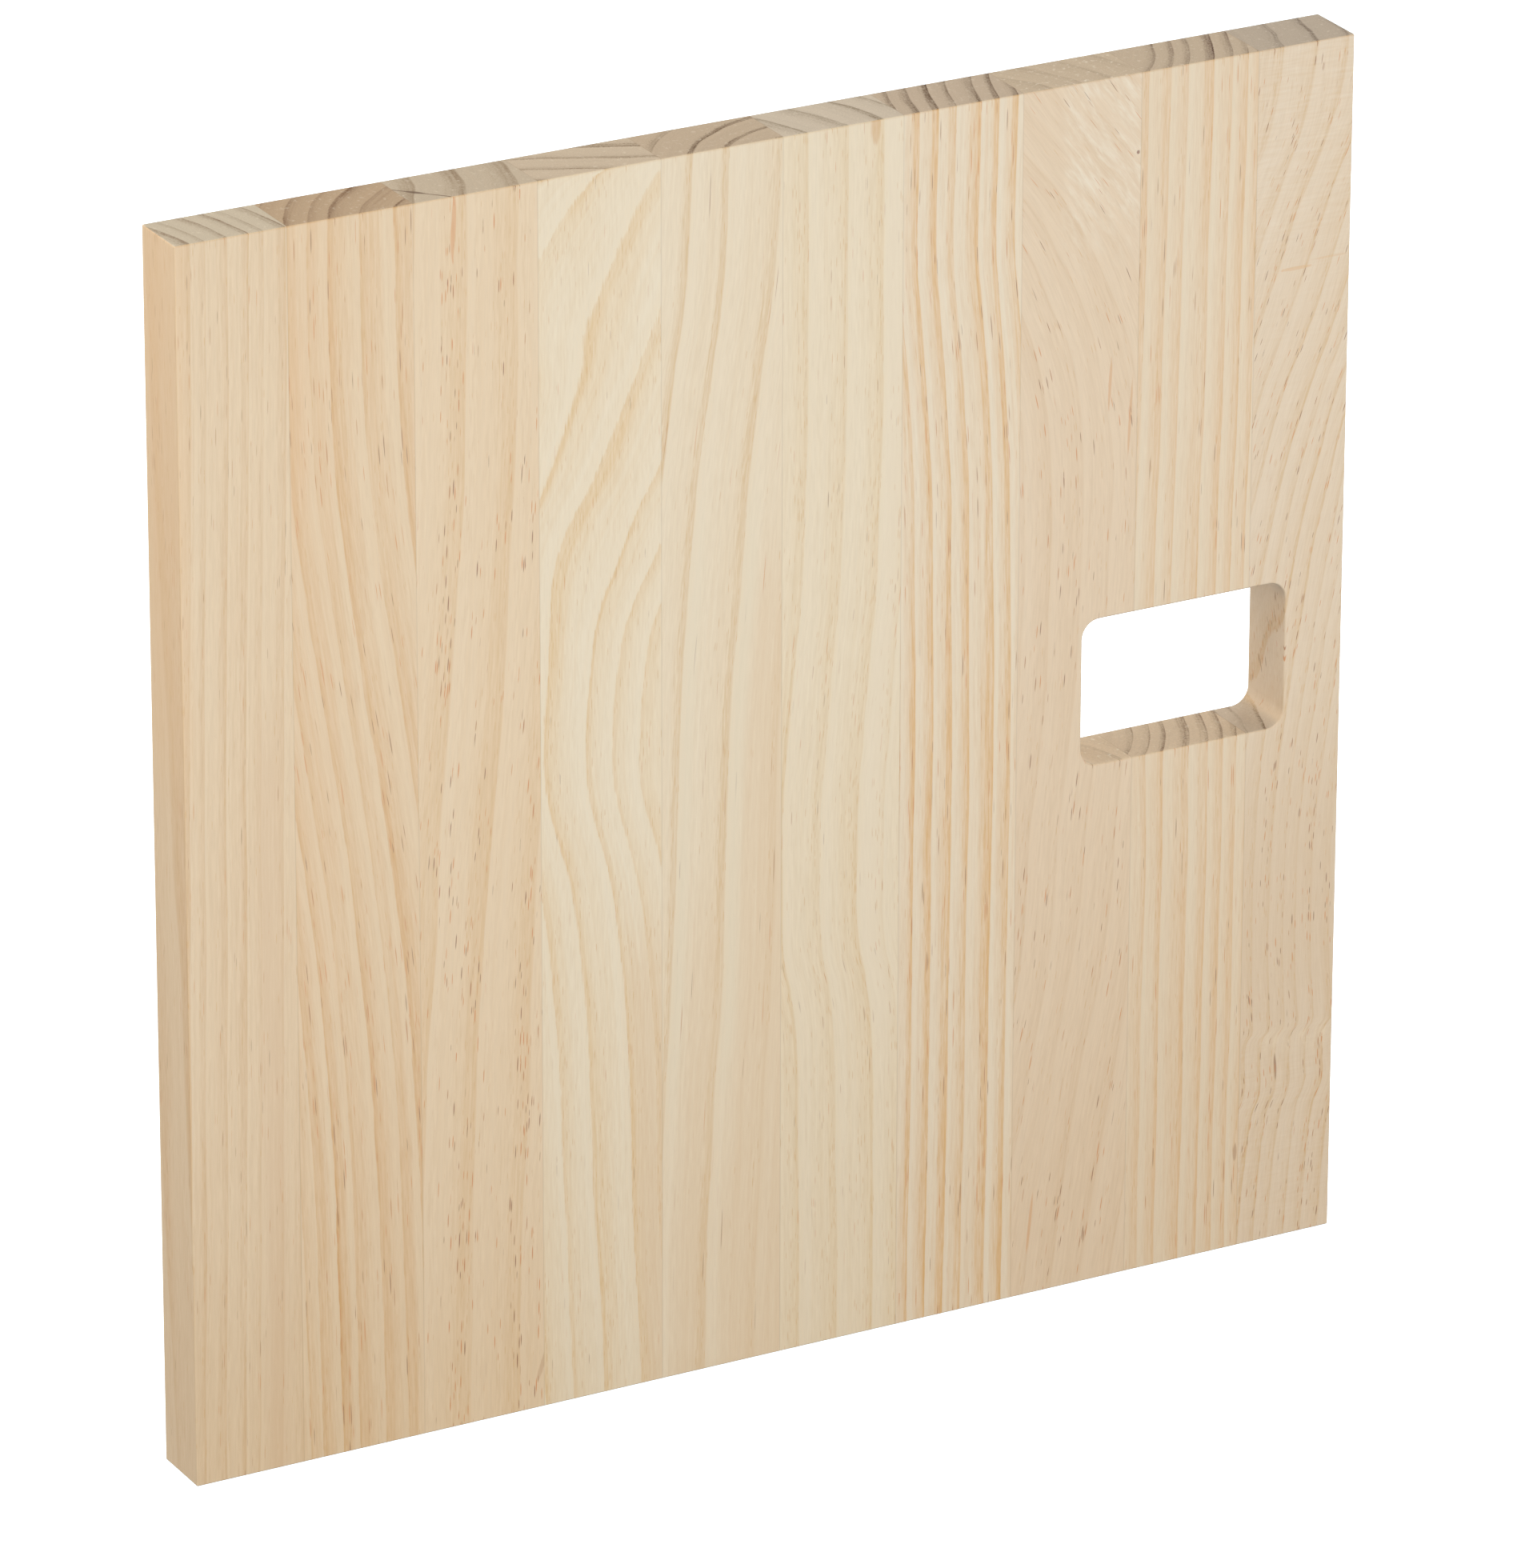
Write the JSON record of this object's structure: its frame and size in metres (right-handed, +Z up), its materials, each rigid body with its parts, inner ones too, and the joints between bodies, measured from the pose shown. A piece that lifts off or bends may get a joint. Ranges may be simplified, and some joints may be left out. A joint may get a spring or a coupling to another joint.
{
  "type": "shelf cube door",
  "caption": "Square solid pine door for one cube of a shelf, edge-glued from full-length staves, with a rounded rectangular finger hole beside its opening edge.",
  "frame": {"origin": "middle of the bottom edge that the door stands on, half way through its thickness", "axes": "+Z up along the grain, the front faces -Y, the thickness runs along Y, and the finger hole is on the +X side"},
  "size_m": [0.33, 0.018, 0.33],
  "materials": {
    "pine_stave_1": "planed and sanded, unfinished",
    "pine_stave_2": "planed and sanded, unfinished",
    "pine_stave_3": "planed and sanded, unfinished",
    "pine_stave_4": "planed and sanded, unfinished",
    "pine_stave_5": "planed and sanded, unfinished",
    "pine_stave_6": "planed and sanded, unfinished",
    "pine_stave_7": "planed and sanded, unfinished",
    "pine_stave_8": "planed and sanded, unfinished",
    "pine_stave_9": "planed and sanded, unfinished",
    "pine_stave_10": "planed and sanded, unfinished"
  },
  "bodies": {
    "root": {"stave_1": "pine_stave_1", "stave_2_above_hole": "pine_stave_2", "stave_2_below_hole": "pine_stave_2", "stave_3": "pine_stave_3", "stave_4": "pine_stave_4", "stave_5": "pine_stave_5", "stave_6": "pine_stave_6", "stave_7": "pine_stave_7", "stave_8": "pine_stave_8", "stave_9": "pine_stave_9", "stave_10": "pine_stave_10"}
  },
  "joints": []
}
